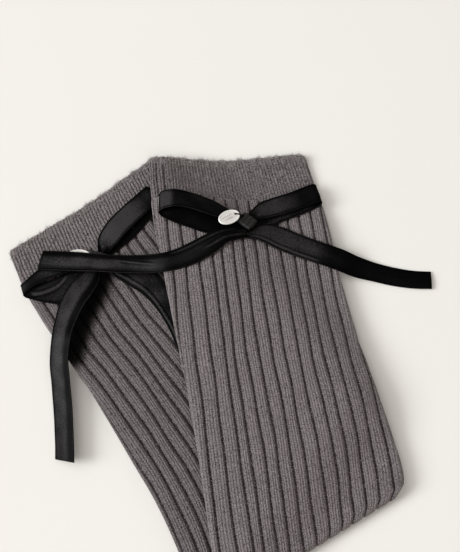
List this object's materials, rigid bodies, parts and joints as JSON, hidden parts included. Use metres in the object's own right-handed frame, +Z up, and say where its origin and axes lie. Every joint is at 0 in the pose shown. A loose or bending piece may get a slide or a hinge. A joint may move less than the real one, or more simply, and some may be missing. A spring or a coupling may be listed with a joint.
{
  "type": "pair of folded knee-high socks",
  "caption": "Wide-ribbed knee-high knit socks, folded and laid one over the other, each with a satin ribbon bow and a small metal charm at the cuff.",
  "frame": {"origin": "on the surface that the socks lie on, under the middle of the whole pair", "axes": "+Z up from the surface, +Y from the folds towards the cuffs, +X across the cuffs to the right"},
  "size_m": [0.2446, 0.2586, 0.0228],
  "materials": {
    "knit": "matt charcoal rib knit, slightly fuzzy",
    "satin": "black satin ribbon with a soft sheen",
    "charm_metal": "polished silver-coloured metal"
  },
  "bodies": {
    "root": {"back_leg": "knit", "back_cuff": "knit", "back_bow_knot": "satin", "back_bow_loop_left": "satin", "back_bow_loop_right": "satin", "back_bow_tail_down": "satin", "back_bow_tail_right": "satin", "back_charm": "charm_metal", "front_leg": "knit", "front_cuff": "knit", "front_bow_knot": "satin", "front_bow_loop_left": "satin", "front_bow_loop_right": "satin", "front_bow_tail_left": "satin", "front_bow_tail_right": "satin", "front_charm": "charm_metal"}
  },
  "joints": []
}
